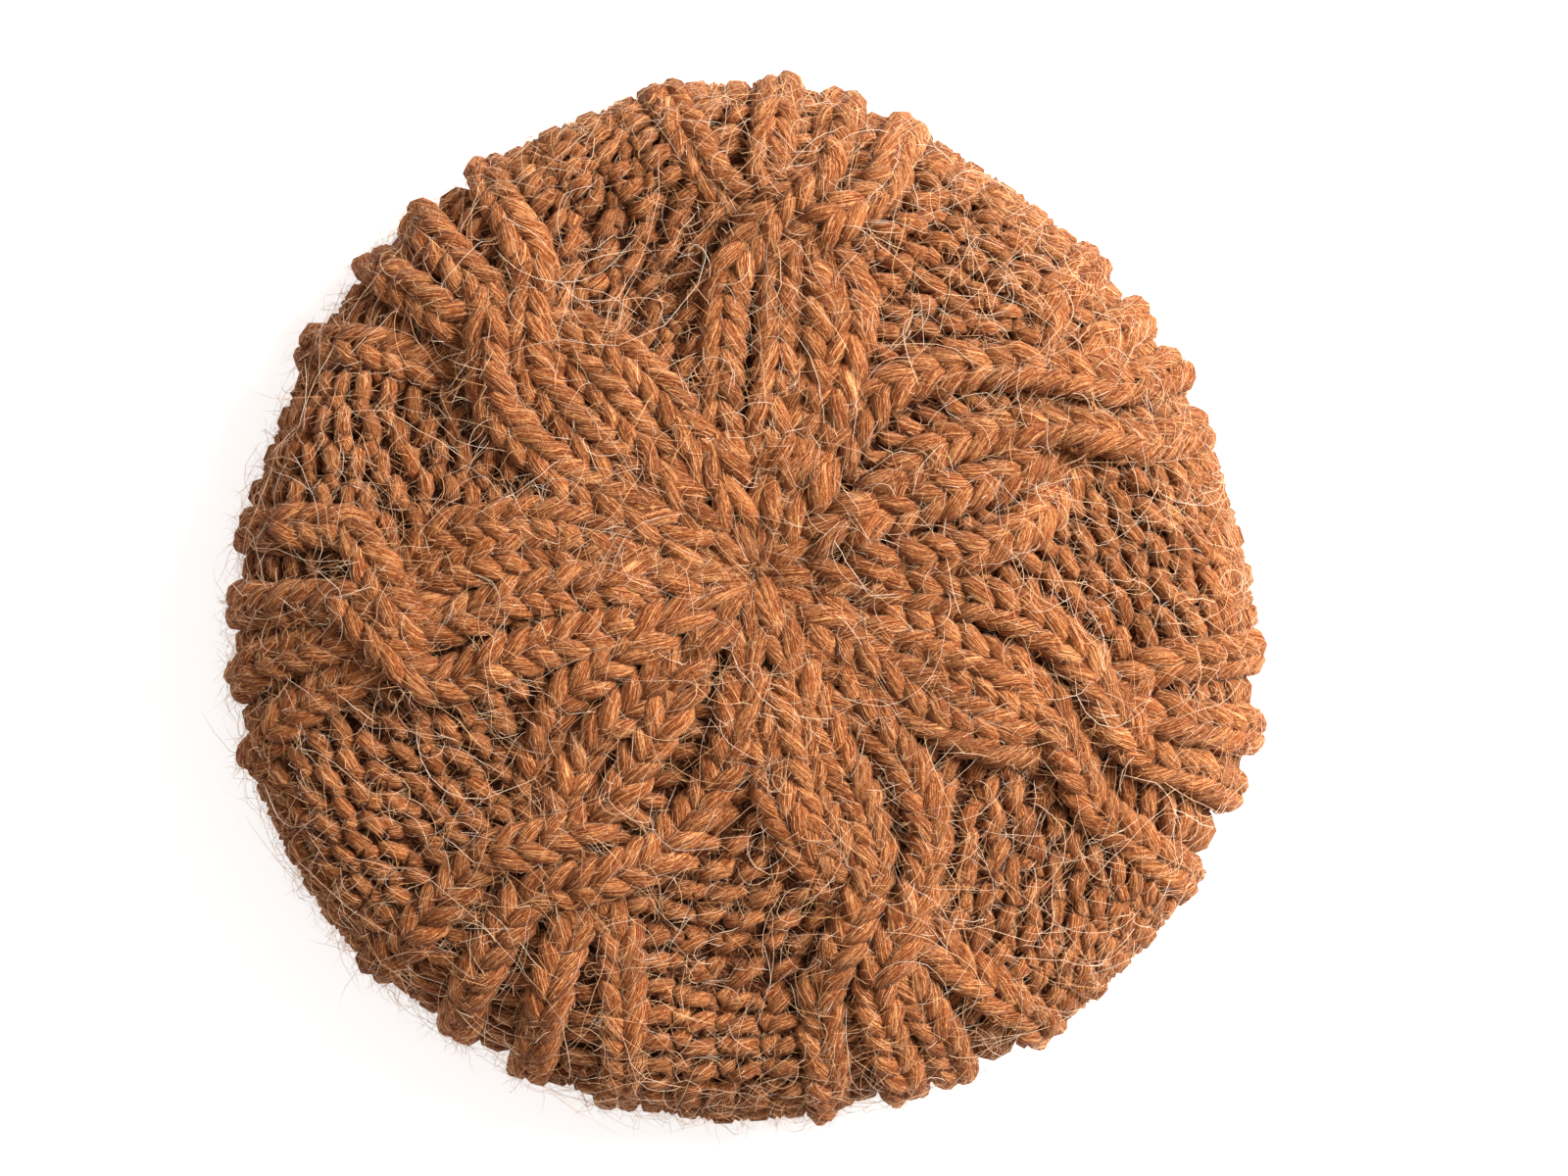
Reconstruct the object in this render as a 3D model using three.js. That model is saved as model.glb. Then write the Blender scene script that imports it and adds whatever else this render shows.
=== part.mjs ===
// A hand-knitted tam o shanter in very thick wool, lying flat as it rests by itself.
// Two knitted pieces: the round crown, with seven groups of four raised ropes that cross once on
// the top, and the ribbed headband below it, whose hem is the ring that the hat stands on.
// Millimetres, +Z up, the surface it rests on at z = 0, the middle of its outline over the origin.

import * as THREE from 'three';

// Sizes of the crown
const rimRadius = 129.5;         // mean reach of the rim from the gather point, ropes left out
const crownHeight = 55;         // highest part of the plain knitting above the surface
const rimHeight = 25;           // widest line of the rim above the surface
const undersideSag = 15;        // how far the turned-under knitting hangs below that line
const crownWall = 6;            // thickness of the knitting
const gatherRelief = 2.6;       // height of the flutes that run into the gather
const ropeWidth = 12;           // width of one raised rope
const ropeRelief = 3.6;         // height of a rope over the purl ground
const crossingLift = 2.4;       // further height of the two ropes that pass on top
const puckerDepth = 2.2;        // how deep the ring of crossings is drawn in
const puffHeight = 1.8;         // how far the plain ground swells between two groups

// Sizes of the headband
const bandRadius = 80;          // middle of the band's wall
const bandWall = 6;             // thickness of the band
const bandHeight = 25;          // height of the band
const bandRibRelief = 1.1;      // height of a rib over the wall's middle face
const hemBevel = 1.4;           // rounding of the band's edges

// Fit
const pieceGap = 0.3;           // clearance between the band's top and the crown's lip

// Counts
const repeats = 7;              // groups of ropes around the crown
const columnsPerRope = 3;       // left foot, crest and right foot of a rope
const columnsPerWedge = 4;      // columns of the plain ground between two groups
const crownRows = 32;           // rows of faces from the gather to the lip
const liningStep = 2;           // the inner face keeps each second row and column
const ribsPerRepeat = 6;        // ribs of the band for each group of the crown
const columnsPerRib = 4;        // columns of faces on one rib

const turn = 2 * Math.PI;
const repeatAngle = turn / repeats;

// The outline about the gather point: the mean radius, pushed out by a few waves round the rim.
// push is a share of the rim radius and lag an angle in degrees.
const outlineWaves = [
  { waves: 1, push: 0.0627, lag: -101 },
  { waves: 2, push: 0.0141, lag: -133 },
  { waves: 3, push: 0.0200, lag: -84 },
];

// The top from the gather to the rim. reach is a share of the rim radius, and rise a share of the
// way from the rim's widest line up to the crown's height.
const domeSections = [
  { reach: 0.00, rise: 0.86 },
  { reach: 0.10, rise: 0.90 },
  { reach: 0.30, rise: 1.00 },
  { reach: 0.52, rise: 0.99 },
  { reach: 0.72, rise: 0.90 },
  { reach: 0.86, rise: 0.73 },
  { reach: 0.95, rise: 0.44 },
  { reach: 1.00, rise: 0.00 },
];

// The turned-under part from the rim to the lip. inward is a share of the way from the rim to the
// headband, and sag a share of the underside's sag.
const undersideSections = [
  { inward: 0.06, sag: 0.52 },
  { inward: 0.17, sag: 0.88 },
  { inward: 0.36, sag: 1.00 },
  { inward: 0.62, sag: 0.80 },
  { inward: 0.84, sag: 0.38 },
  { inward: 1.00, sag: 0.00 },
];

// One row for each group of ropes: the angle of its four ribs' middle at the rim, the angle of its
// middle in the petal near the gather, and half the angle that the petal spreads over, in degrees.
const groups = [
  { rib: 30.5, petal: 27.5, halfSpread: 23.0 },
  { rib: 84.1, petal: 81.5, halfSpread: 16.5 },
  { rib: 137.3, petal: 135.0, halfSpread: 16.5 },
  { rib: 187.0, petal: 182.0, halfSpread: 16.5 },
  { rib: 240.0, petal: 234.5, halfSpread: 21.5 },
  { rib: 290.2, petal: 291.5, halfSpread: 18.0 },
  { rib: 339.0, petal: 337.0, halfSpread: 17.5 },
];

// The four ropes of a group by angle. petal is a share of the group's half spread, neck and rib are
// shares of the repeat's angle from the group's middle, and over says which ropes pass on top.
const ropes = [
  { petal: -1.00, neck: -0.20, rib: 0.068, over: false },
  { petal: -0.38, neck: -0.09, rib: 0.266, over: false },
  { petal: 0.28, neck: 0.05, rib: -0.255, over: true },
  { petal: 1.00, neck: 0.22, rib: -0.078, over: true },
];
// The same ropes by angle once they have crossed
const outerOrder = [...ropes].sort((a, b) => a.rib - b.rib);

// Where the ropes change their course, as shares of the way from the gather to the rim
const fluteEnd = 0.14;
const petalStart = 0.32;
const petalMiddle = 0.46;
const neck = 0.58;
const crossed = 0.76;
const crossing = (neck + crossed) / 2;
const ropesPassed = 2;          // the ropes that a column of faces moves on by at the crossing

// Where the swellings, the drawn-in ring and the relief end, as shares of the way out or back in
const puffMiddle = 0.87;
const puffEnd = 0.17;
const puckerEnd = 0.20;
const crossingEnd = 0.14;
const reliefFade = 0.70;
const footRoom = 0.46;          // most that a rope's foot takes of the way to the next rope
const normalStep = 0.002;       // step along and around the surface for its normal

const columnsPerRepeat = ropes.length * columnsPerRope + columnsPerWedge;
const crownColumns = repeats * columnsPerRepeat;

function degrees(angle) {
  return angle * turn / 360;
}

function mix(a, b, share) {
  return a + (b - a) * share;
}

function smooth(from, to, value) {
  return THREE.MathUtils.smoothstep(value, from, to);
}

// A hump of height 1 at a place, that dies out at a distance from it
function hump(value, place, distance) {
  const share = Math.min(1, Math.abs(value - place) / distance);
  return Math.cos(share * Math.PI / 2) ** 2;
}

// Middles of a group by number, which may run past the last group and before the first
function groupAngle(number, key) {
  const lap = Math.floor(number / repeats);
  return degrees(groups[number - lap * repeats][key]) + lap * turn;
}

function rimReach(angle) {
  let share = 1;
  for (const wave of outlineWaves) {
    share += wave.push * Math.cos(wave.waves * angle - degrees(wave.lag));
  }
  return rimRadius * share;
}

function outlineMiddle() {
  const box = new THREE.Box2();
  for (let column = 0; column < crownColumns; column += 1) {
    const angle = column * turn / crownColumns;
    const reach = rimReach(angle);
    box.expandByPoint(new THREE.Vector2(reach * Math.cos(angle), reach * Math.sin(angle)));
  }
  return box.getCenter(new THREE.Vector2());
}

// The angle of a rope at a share of the way out
function ropeAngle(group, rope, out) {
  const halfSpread = degrees(groups[((group % repeats) + repeats) % repeats].halfSpread);
  const petal = groupAngle(group, 'petal') + rope.petal * halfSpread;
  const drawnIn = groupAngle(group, 'rib') + rope.neck * repeatAngle;
  const rib = groupAngle(group, 'rib') + rope.rib * repeatAngle;
  const toNeck = smooth(petalMiddle, neck, out);
  return mix(mix(petal, drawnIn, toNeck), rib, smooth(neck, crossed, out));
}

// The angle of a column of faces that keeps to the ropes in the given order
function orderedAngle(column, order, out, foot) {
  const group = Math.floor(column / columnsPerRepeat);
  const place = column - group * columnsPerRepeat;
  const last = order.length - 1;
  const crest = (index) => {
    const lap = Math.floor(index / order.length);
    return ropeAngle(group + lap, order[index - lap * order.length], out);
  };
  const footAngle = (index, side) => {
    const room = Math.abs(crest(index + side) - crest(index));
    return crest(index) + side * Math.min(foot, footRoom * room);
  };
  if (place < order.length * columnsPerRope) {
    const index = Math.floor(place / columnsPerRope);
    const side = place - index * columnsPerRope - 1;
    return side === 0 ? crest(index) : footAngle(index, side);
  }
  const step = place - order.length * columnsPerRope + 1;
  return mix(footAngle(last, 1), footAngle(last + 1, -1), step / (columnsPerWedge + 1));
}

// The angle of a column at a share of the way out: even at the gather, along the four ropes of
// the petals, and from the crossing on along the ribs, two ropes further
function columnAngle(column, out) {
  const foot = ropeWidth / 2 / (rimRadius * Math.max(out, petalStart));
  const even = degrees(groups[0].petal) + (column - columnsPerRepeat / 2) * turn / crownColumns;
  const shifted = column - ropesPassed * columnsPerRope;
  const inner = orderedAngle(column, ropes, Math.min(Math.max(out, petalStart), neck), foot);
  const outer = orderedAngle(shifted, outerOrder, Math.max(out, crossed), foot);
  const alongRopes = mix(inner, outer, smooth(neck, crossed, out));
  return mix(even, alongRopes, smooth(fluteEnd, petalStart, out));
}

// The height of the ropes, flutes and swellings over the plain surface
function relief(angle, out, inward) {
  const reach = Math.max(out, petalStart) * rimReach(angle);
  const onTop = hump(out, crossing, crossingEnd);
  let rope = 0;
  for (let group = -1; group <= repeats; group += 1) {
    for (const strand of ropes) {
      const away = Math.abs(angle - ropeAngle(group, strand, out));
      const aside = Math.min(away, Math.abs(away - turn)) * reach;
      const lift = strand.over ? ropeRelief + crossingLift * onTop : ropeRelief * (1 - onTop);
      rope = Math.max(rope, lift * hump(aside, 0, ropeWidth / 2));
    }
  }
  const fluteTurns = 2 * repeats * (angle - degrees(groups[0].petal));
  const flute = gatherRelief * (0.5 + 0.5 * Math.cos(fluteTurns)) * smooth(0, fluteEnd, out);
  const puff = puffHeight * hump(out, puffMiddle, puffEnd) * (1 - rope / (ropeRelief + crossingLift));
  const pucker = puckerDepth * hump(out, crossing, puckerEnd);
  const raised = mix(flute, rope, smooth(fluteEnd, petalStart, out)) + puff - pucker;
  return raised * (1 - smooth(reliefFade, 1, inward));
}

// The meridian of the crown: x is the way out from the gather, y the way back in under the rim,
// and z the height, so that its length is that of the knitting
const rimToBand = rimRadius - bandRadius - bandWall / 2;
const lipHeight = bandHeight + pieceGap;
const meridian = new THREE.CatmullRomCurve3([
  ...domeSections.map((row) => new THREE.Vector3(
    row.reach * rimRadius, 0, mix(rimHeight, crownHeight, row.rise))),
  ...undersideSections.map((row) => new THREE.Vector3(
    rimRadius, row.inward * rimToBand, mix(rimHeight, lipHeight, row.inward) - undersideSag * row.sag)),
]);
const bandCentre = outlineMiddle();

// A point of the plain surface at an angle and a place of the meridian
function plainPoint(angle, place) {
  const out = Math.min(place.x / rimRadius, 1);
  const inward = THREE.MathUtils.clamp(place.y / rimToBand, 0, 1);
  const reach = mix(out * rimReach(angle), bandRadius + bandWall / 2, inward);
  return new THREE.Vector3(
    bandCentre.x * inward + reach * Math.cos(angle),
    bandCentre.y * inward + reach * Math.sin(angle),
    place.z,
  );
}

function plainNormal(angle, share) {
  const before = meridian.getPointAt(Math.max(share - normalStep, 0));
  const after = meridian.getPointAt(Math.min(share + normalStep, 1));
  const along = plainPoint(angle, after).sub(plainPoint(angle, before));
  const here = meridian.getPointAt(Math.max(share, normalStep));
  const around = plainPoint(angle + normalStep, here).sub(plainPoint(angle - normalStep, here));
  return along.cross(around).normalize();
}

// A point of the crown's outer face, or of its inner face one wall below the plain surface
function crownPoint(column, share, outside) {
  const place = meridian.getPointAt(share);
  const out = Math.min(place.x / rimRadius, 1);
  const inward = THREE.MathUtils.clamp(place.y / rimToBand, 0, 1);
  const angle = columnAngle(column, out);
  const height = outside ? relief(angle, out, inward) : -crownWall;
  return plainPoint(angle, place).addScaledVector(plainNormal(angle, share), height);
}

// A closed body from rings of points: neighbouring rings may differ by a whole factor in number
function bodyFromRings(rings) {
  const positions = [];
  const indices = [];
  const starts = [];
  for (const ring of rings) {
    starts.push(positions.length / 3);
    for (const point of ring) {
      positions.push(point.x, point.y, point.z);
    }
  }
  for (let row = 0; row < rings.length; row += 1) {
    const next = (row + 1) % rings.length;
    joinRings(indices, starts[row], rings[row].length, starts[next], rings[next].length);
  }
  const geometry = new THREE.BufferGeometry();
  geometry.setAttribute('position', new THREE.Float32BufferAttribute(positions, 3));
  geometry.setIndex(indices);
  geometry.computeVertexNormals();
  return geometry;
}

// The faces between two rings; a ring of one point is a pole, and two poles need no faces
function joinRings(indices, startA, countA, startB, countB) {
  const steps = Math.max(countA, countB);
  if (countA === 1 && countB === 1) {
    return;
  }
  const pick = (start, count, step) => start + Math.floor((step % steps) * count / steps);
  for (let step = 0; step < steps; step += 1) {
    const a = pick(startA, countA, step);
    const b = pick(startA, countA, step + 1);
    const c = pick(startB, countB, step + 1);
    const d = pick(startB, countB, step);
    if (a !== b) {
      indices.push(a, d, b);
    }
    if (c !== d) {
      indices.push(b, d, c);
    }
  }
}

// The crown: gather, top, rim, underside and lip outside, then the inner face back to the gather
function crownBody() {
  const rings = [[crownPoint(0, 0, true)]];
  for (let row = 1; row <= crownRows; row += 1) {
    const ring = [];
    for (let column = 0; column < crownColumns; column += 1) {
      ring.push(crownPoint(column, row / crownRows, true));
    }
    rings.push(ring);
  }
  const lip = rings[crownRows].filter((point, column) => column % liningStep === 0);
  for (const height of [0, crownWall]) {
    rings.push(lip.map((point) => {
      const outward = new THREE.Vector2(point.x, point.y).sub(bandCentre);
      const inside = outward.setLength(bandRadius - bandWall / 2).add(bandCentre);
      return new THREE.Vector3(inside.x, inside.y, lipHeight + height);
    }));
  }
  for (let row = crownRows - liningStep; row > 0; row -= liningStep) {
    const ring = [];
    for (let column = 0; column < crownColumns; column += liningStep) {
      ring.push(crownPoint(column, row / crownRows, false));
    }
    rings.push(ring);
  }
  rings.push([crownPoint(0, 0, false)]);
  return bodyFromRings(rings);
}

// The headband: a ribbed tube whose knit ribs stand out on one face and sink in on the other
function bandBody() {
  const half = bandWall / 2;
  const section = [
    { side: -half, height: bandHeight - hemBevel },
    { side: -half + hemBevel, height: bandHeight },
    { side: half - hemBevel, height: bandHeight },
    { side: half, height: bandHeight - hemBevel },
    { side: half, height: hemBevel },
    { side: half - hemBevel, height: 0 },
    { side: -half + hemBevel, height: 0 },
    { side: -half, height: hemBevel },
  ];
  const columns = repeats * ribsPerRepeat * columnsPerRib;
  const rings = section.map((row) => {
    const ring = [];
    for (let column = 0; column < columns; column += 1) {
      const angle = column * turn / columns;
      const rib = bandRibRelief * Math.cos(column * turn / columnsPerRib);
      const reach = bandRadius + row.side + rib;
      const point = new THREE.Vector2(reach * Math.cos(angle), reach * Math.sin(angle)).add(bandCentre);
      ring.push(new THREE.Vector3(point.x, point.y, row.height));
    }
    return ring;
  });
  return bodyFromRings(rings);
}

const crown = new THREE.Mesh(crownBody(), new THREE.MeshStandardMaterial({
  color: 0xb06a38,
  roughness: 0.95,
  metalness: 0,
}));
crown.name = 'crown';

const band = new THREE.Mesh(bandBody(), new THREE.MeshStandardMaterial({
  color: 0xa05f33,
  roughness: 0.95,
  metalness: 0,
}));
band.name = 'band';

// Both pieces are set so that the middle of the crown's outline stands over the origin
const crownMiddle = new THREE.Box3().setFromBufferAttribute(crown.geometry.attributes.position)
  .getCenter(new THREE.Vector3());
const hat = new THREE.Group();
hat.position.set(-crownMiddle.x, -crownMiddle.y, 0);
hat.add(crown, band);

export default hat;
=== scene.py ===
"""A hand-knitted tam o shanter in thick wool, lying flat on a pale surface and seen from above.

The crown and the headband of the frame are replaced by real loops of yarn: ropes of knit stitches,
purl ground between them, a single rib, and the loose fibres of the wool. Sizes are in millimetres
until a mesh is made, and places follow the frame.
"""
import math

import bpy
import numpy as np
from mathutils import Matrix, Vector


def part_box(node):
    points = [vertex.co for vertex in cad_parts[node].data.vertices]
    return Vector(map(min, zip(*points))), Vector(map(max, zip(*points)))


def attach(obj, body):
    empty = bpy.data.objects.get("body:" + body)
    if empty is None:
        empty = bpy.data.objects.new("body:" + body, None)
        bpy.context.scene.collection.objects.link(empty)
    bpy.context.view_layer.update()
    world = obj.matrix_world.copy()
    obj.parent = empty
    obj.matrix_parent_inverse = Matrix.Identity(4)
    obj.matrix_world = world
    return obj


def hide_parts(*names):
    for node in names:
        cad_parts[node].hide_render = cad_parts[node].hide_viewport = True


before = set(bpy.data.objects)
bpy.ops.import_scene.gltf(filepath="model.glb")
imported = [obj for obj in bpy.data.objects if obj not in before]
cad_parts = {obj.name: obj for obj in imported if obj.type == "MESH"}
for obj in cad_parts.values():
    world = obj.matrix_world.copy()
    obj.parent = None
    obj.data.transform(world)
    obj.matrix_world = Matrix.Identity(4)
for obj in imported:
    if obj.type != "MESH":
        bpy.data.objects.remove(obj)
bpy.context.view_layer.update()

MM = 0.001
CM = 10
TAU = 2 * math.pi
SEED = 7
RNG = np.random.default_rng(SEED)

# The crown's plain surface, as the frame has it
RIM_RADIUS = 129.5
CROWN_HEIGHT = 55.0
RIM_HEIGHT = 25.0
UNDERSIDE_SAG = 15.0
BAND_HEIGHT = 25.0
BAND_RADIUS = 80.0
BAND_WALL = 6.0
PIECE_GAP = 0.3
PUFF_HEIGHT = 1.8
PUCKER_DEPTH = 2.2
GATHER_DIP = 3.0
GATHER_SHIFT = (2.2, 0.6)       # how far the knitting is pulled over at the gather
GATHER_PULL = 0.35              # share of the rim up to which it is pulled over in full
# Middle and reach, as shares of the rim, of the puff, the drawn-in ring and the gather's dip
PUFF_PLACE = (0.87, 0.17)
PUCKER_PLACE = (0.67, 0.20)
DIP_PLACE = (0.0, 0.12)

# The wool and the size of its stitches
YARN_RADIUS = 2.42
GROUND_YARN = 2.15
UNDER_YARN = 2.0
BAND_YARN = 2.05
HEM_YARN = 1.75
YARN_TWIST = 0.10               # turn of the fibres round the yarn, radians for each mm
YARN_SPREAD = 0.055             # unevenness of the yarn's radius, as a share
ROPE_WIDTH = 11.5               # room that a rope takes from the ground
LOOP_WIDTH = 10.0               # width of a rope's loops
STITCH_WIDTH = 8.8
ROW_HEIGHT = 6.0
RIB_COUNT = 42
FLOOR_GAP = 0.1                 # the lowest yarn's height over the floor
TRAVEL_START = 900              # each strand's streaks start somewhere within this length
# Fibres leave the yarn where it faces out of the cloth by this much and has this share of its girth
ROOT_FACING = 0.2
ROOT_GIRTH = 0.85

# Loose fibres, by kind: length and radius in mm, spread of their directions, points along each, tones
FIBRES = {
    "crown": {"length": 6.3, "spread": 0.50, "steps": 4, "radius": 0.056, "tones": (0.1, 1.0)},
    "fuzz": {"length": 3.4, "spread": 0.60, "steps": 3, "radius": 0.060, "tones": (0.1, 0.85)},
    "underside": {"length": 4.5, "spread": 0.50, "steps": 4, "radius": 0.055, "tones": (0.2, 0.9)},
    "band": {"length": 4.0, "spread": 0.50, "steps": 4, "radius": 0.055, "tones": (0.2, 0.9)},
}
HAIR_REACH = 5.0                # how far a loose fibre may stand off the yarn
HAIR_TOP = 66.0                 # no loose fibre lies higher than this
HAIR_LOW = 0.4                  # or lower than this
HAIR_SINK = 0.3                 # how deep its root lies in the yarn
HAIR_LIFT = 0.40                # how steeply it leaves the yarn
HAIR_CURL = 0.55                # how strongly it bends
HAIR_WAVE = 0.07                # how strongly it waves
HAIR_FALL = (0.05, 0.40)        # how strongly it falls back to the cloth, at least and at most
HAIR_SPREAD = 0.45              # how lengths differ
HAIR_MOST = 2                   # a fibre is at most this many times as long as its kind
HAIR_TAPER = 0.55               # share of its radius that is lost towards the tip
HAIR_GIRTH = (0.7, 1.3)         # thinnest and thickest, as shares of the radius

# The outline's waves about the gather: number of waves, push as a share of the rim, lag in degrees
OUTLINE_WAVES = ((1, 0.0627, -101.0), (2, 0.0141, -133.0), (3, 0.0200, -84.0), (4, 0.0015, 28.0),
                 (6, 0.0033, 164.0), (7, 0.0030, -64.0), (8, 0.0033, -43.0))

# The dome from the gather to the rim: reach as a share of the rim, rise as a share of the height
DOME = ((0.00, 0.86), (0.10, 0.90), (0.30, 1.00), (0.52, 0.99), (0.72, 0.90), (0.86, 0.73),
        (0.95, 0.44), (1.00, 0.00))

# The underside from the rim to the headband: way in as a share, sag as a share of the sag
UNDERSIDE = ((0.06, 0.52), (0.17, 0.88), (0.36, 1.00), (0.62, 0.80), (0.84, 0.38), (1.00, 0.00))

# One row for each group of four ropes, angles in degrees about the gather, distances in mm from it:
# the ropes in the petal, the ropes where the crossing starts, the four ribs after it, the same ribs
# at the rim, and where the crossing starts and ends.
GROUPS = (
    {"petal": (6, 21.5, 36, 55), "neck": (15, 22.5, 30, 43.5), "ribs": (18.5, 26.5, 34, 43),
     "rim": (18.5, 26.5, 34, 43), "start": 77, "end": 103},
    {"petal": (66.5, 75.5, 85, 98.5), "neck": (68.5, 78, 85.5, 95.5), "ribs": (70.5, 79, 88, 96),
     "rim": (70, 78.5, 87, 101), "start": 73, "end": 101},
    {"petal": (118, 129, 140, 152), "neck": (125, 131, 136.5, 148), "ribs": (123.5, 132, 138.5, 146),
     "rim": (123, 132.5, 140.5, 153), "start": 75, "end": 95},
    {"petal": (163.5, 173, 184, 198.5), "neck": (172, 178.5, 189.5, 198), "ribs": (173, 182, 188.5, 193),
     "rim": (174, 183, 191, 200), "start": 80, "end": 99},
    {"petal": (211.5, 224, 238, 257), "neck": (221, 229, 235.5, 251), "ribs": (226, 235, 242.5, 250),
     "rim": (226, 236.5, 245.5, 256), "start": 73, "end": 93},
    {"petal": (275, 284, 296, 311), "neck": (282, 287.5, 293.5, 304.5), "ribs": (279, 287, 292, 297),
     "rim": (278.5, 287, 293, 303), "start": 75, "end": 102},
    {"petal": (320, 331.5, 341.5, 354), "neck": (328, 333, 338, 349.5), "ribs": (325.5, 336, 341.5, 348),
     "rim": (325.5, 336, 342.5, 352), "start": 76, "end": 103},
)
# The rib that each rope becomes, and whether it passes on top
RIB_OF_ROPE = (2, 3, 0, 1)
ON_TOP = (False, False, True, True)
PETAL_RADIUS = 55.0             # where the petal's angles are taken
MERGE_RADIUS = 36.0             # where the ropes of two petals run together
CHAIN_TURN = 5.2                # half the angle between two ropes that run together, in degrees
# How far a rope rises or dives where ropes cross, and the crossing's reach as a share of its length
CROSS_OVER = 2.6
CROSS_UNDER = -3.2
CROSS_REACH = 0.85
COURSE_BLUR = 12                # a rope's bends are rounded over this many samples each way
RIM_RISE = 0.1                  # how far a rope rises at the rim
# Where along the knitting the rim's part starts and is full, and how far past the seam it ends
RIM_NEAR = (100, 126)
RIM_PAST = 22

# Wide hollows and swellings where the soft crown has settled: x, y, rise and reach
FOLDS = ((-31, 84, -5.5, 20), (-78, 58, -5.0, 14), (-48, -40, -6.0, 17), (-15, -46, -4.0, 13),
         (86, -50, -5.0, 15), (-106, -26, -3.0, 14), (-4, -92, -3.0, 16), (58, 69, 2.5, 18),
         (-86, -2, 2.5, 13), (49, -24, 1.5, 18), (23, 96, 2.0, 13), (38, -93, 2.0, 13),
         (70, -68, -3.5, 17), (66, 8, 2.5, 16), (-80, -62, -4.5, 23))
FOLD_FADE = 16                  # length before the rim over which they fade


def unit(v):
    return v / np.maximum(np.linalg.norm(v, axis=-1, keepdims=True), 1e-9)


def hump(value, place, width):
    share = np.minimum(1, np.abs(value - place) / width)
    return np.cos(share * math.pi / 2) ** 2


def smooth(low, high, value):
    share = np.clip((value - low) / (high - low), 0, 1)
    return share * share * (3 - 2 * share)


def mix(a, b, share):
    return a + (b - a) * share


def blurred(values, half):
    kernel = np.hanning(2 * half + 3)[1:-1]
    padded = np.concatenate([np.full(half, values[0]), values, np.full(half, values[-1])])
    return np.convolve(padded, kernel / kernel.sum(), "valid")


def rim_reach(angle):
    share = 1.0
    for waves, push, lag in OUTLINE_WAVES:
        share = share + push * np.cos(waves * angle - math.radians(lag))
    return RIM_RADIUS * share


def curve_through(points, steps):
    """A centripetal Catmull-Rom curve through points."""
    points = np.asarray(points, float)
    points = np.vstack([2 * points[0] - points[1], points, 2 * points[-1] - points[-2]])
    t = np.linspace(0, 1, steps, endpoint=False)[:, None]
    parts = []
    for a, b, c, d in zip(points, points[1:], points[2:], points[3:]):
        ab, bc, cd = (np.linalg.norm(q - p) ** 0.5 for p, q in ((a, b), (b, c), (c, d)))
        first = ((b - a) / ab - (c - a) / (ab + bc) + (c - b) / bc) * bc
        last = ((c - b) / bc - (d - b) / (bc + cd) + (d - c) / cd) * bc
        parts.append((2 * t**3 - 3 * t**2 + 1) * b + (t**3 - 2 * t**2 + t) * first
                     + (3 * t**2 - 2 * t**3) * c + (t**3 - t**2) * last)
    return np.vstack(parts + [points[-2:-1]])


def meridian_table():
    lip = BAND_HEIGHT + PIECE_GAP
    back = RIM_RADIUS - BAND_RADIUS - BAND_WALL / 2
    rows = [(reach * RIM_RADIUS, 0.0, mix(RIM_HEIGHT, CROWN_HEIGHT, rise)) for reach, rise in DOME]
    rows += [(RIM_RADIUS, way * back, mix(RIM_HEIGHT, lip, way) - UNDERSIDE_SAG * sag)
             for way, sag in UNDERSIDE]
    line = curve_through(rows, 40)
    length = np.concatenate([[0], np.cumsum(np.linalg.norm(np.diff(line, axis=0), axis=1))])
    return length, np.minimum(line[:, 0] / RIM_RADIUS, 1), np.clip(line[:, 1] / back, 0, 1), line[:, 2]


ARC, ARC_OUT, ARC_IN, ARC_Z = meridian_table()
ARC_END = ARC[-1]
RIM_ARC = ARC[np.argmax(ARC_OUT >= 1)]
SEAM_ARC = RIM_ARC + 6          # where the pieces of the top and of the underside meet
band_low, band_high = (np.array(corner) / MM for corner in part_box("band"))
BAND_MIDDLE = (band_low[:2] + band_high[:2]) / 2
TURN = np.linspace(0, TAU, 720)
OUTLINE = rim_reach(TURN)[:, None] * np.stack([np.cos(TURN), np.sin(TURN)], 1)
GATHER = BAND_MIDDLE - (OUTLINE.min(0) + OUTLINE.max(0)) / 2
SAMPLE_STEP = 0.5               # mm between the samples of a line
SAMPLES = np.arange(0, ARC_END, SAMPLE_STEP)
ARC_STEP = 1.0                  # steps for slopes, in mm along the knitting and in radians
TURN_STEP = 0.01


def surface(angle, arc):
    """Points of the crown's plain surface, by angle and by length along the knitting."""
    out = np.interp(arc, ARC, ARC_OUT)
    way = np.interp(arc, ARC, ARC_IN)
    reach = mix(out * rim_reach(angle), BAND_RADIUS + BAND_WALL / 2, way)
    drawn = (1 - smooth(GATHER_PULL, 1.0, out)) * (1 - way)
    x = mix(GATHER[0], BAND_MIDDLE[0], way) + reach * np.cos(angle) + GATHER_SHIFT[0] * drawn
    y = mix(GATHER[1], BAND_MIDDLE[1], way) + reach * np.sin(angle) + GATHER_SHIFT[1] * drawn
    z = np.interp(arc, ARC, ARC_Z) + 0 * x
    for fold_x, fold_y, rise, wide in FOLDS:
        away = ((x - fold_x) ** 2 + (y - fold_y) ** 2) / wide ** 2
        z = z + rise * np.exp(-away) * (1 - smooth(RIM_ARC - FOLD_FADE, RIM_ARC, arc))
    return np.stack([x, y, z], -1)


def surface_normal(angle, arc):
    arc = np.clip(arc, ARC_STEP, ARC_END - ARC_STEP)
    along = surface(angle, arc + ARC_STEP) - surface(angle, arc - ARC_STEP)
    around = surface(angle + 2 * TURN_STEP, arc) - surface(angle - 2 * TURN_STEP, arc)
    return unit(np.cross(along, around))


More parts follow.
